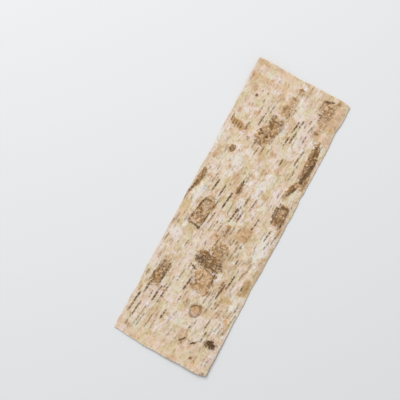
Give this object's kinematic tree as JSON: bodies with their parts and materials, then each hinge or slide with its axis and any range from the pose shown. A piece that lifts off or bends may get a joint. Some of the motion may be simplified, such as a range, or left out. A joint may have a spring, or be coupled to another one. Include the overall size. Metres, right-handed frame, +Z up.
{
  "type": "birch bark sheet",
  "caption": "Thin rectangular sheet of birch bark, cut to size and lying pale outer side up, with dark lenticels, rough scaly patches and two gently lifted corners.",
  "frame": {"origin": "on the table, under the middle of the sheet's box", "axes": "+Y along the long sides, towards the end that lifts most; +X across, to the right when the outer side is seen; +Z up, out of the pale outer side"},
  "size_m": [0.1026, 0.3046, 0.0057],
  "materials": {
    "bark": "matte, papery outer side with cream, peach and tan tones"
  },
  "bodies": {
    "root": {"bark_sheet": "bark"}
  },
  "joints": []
}
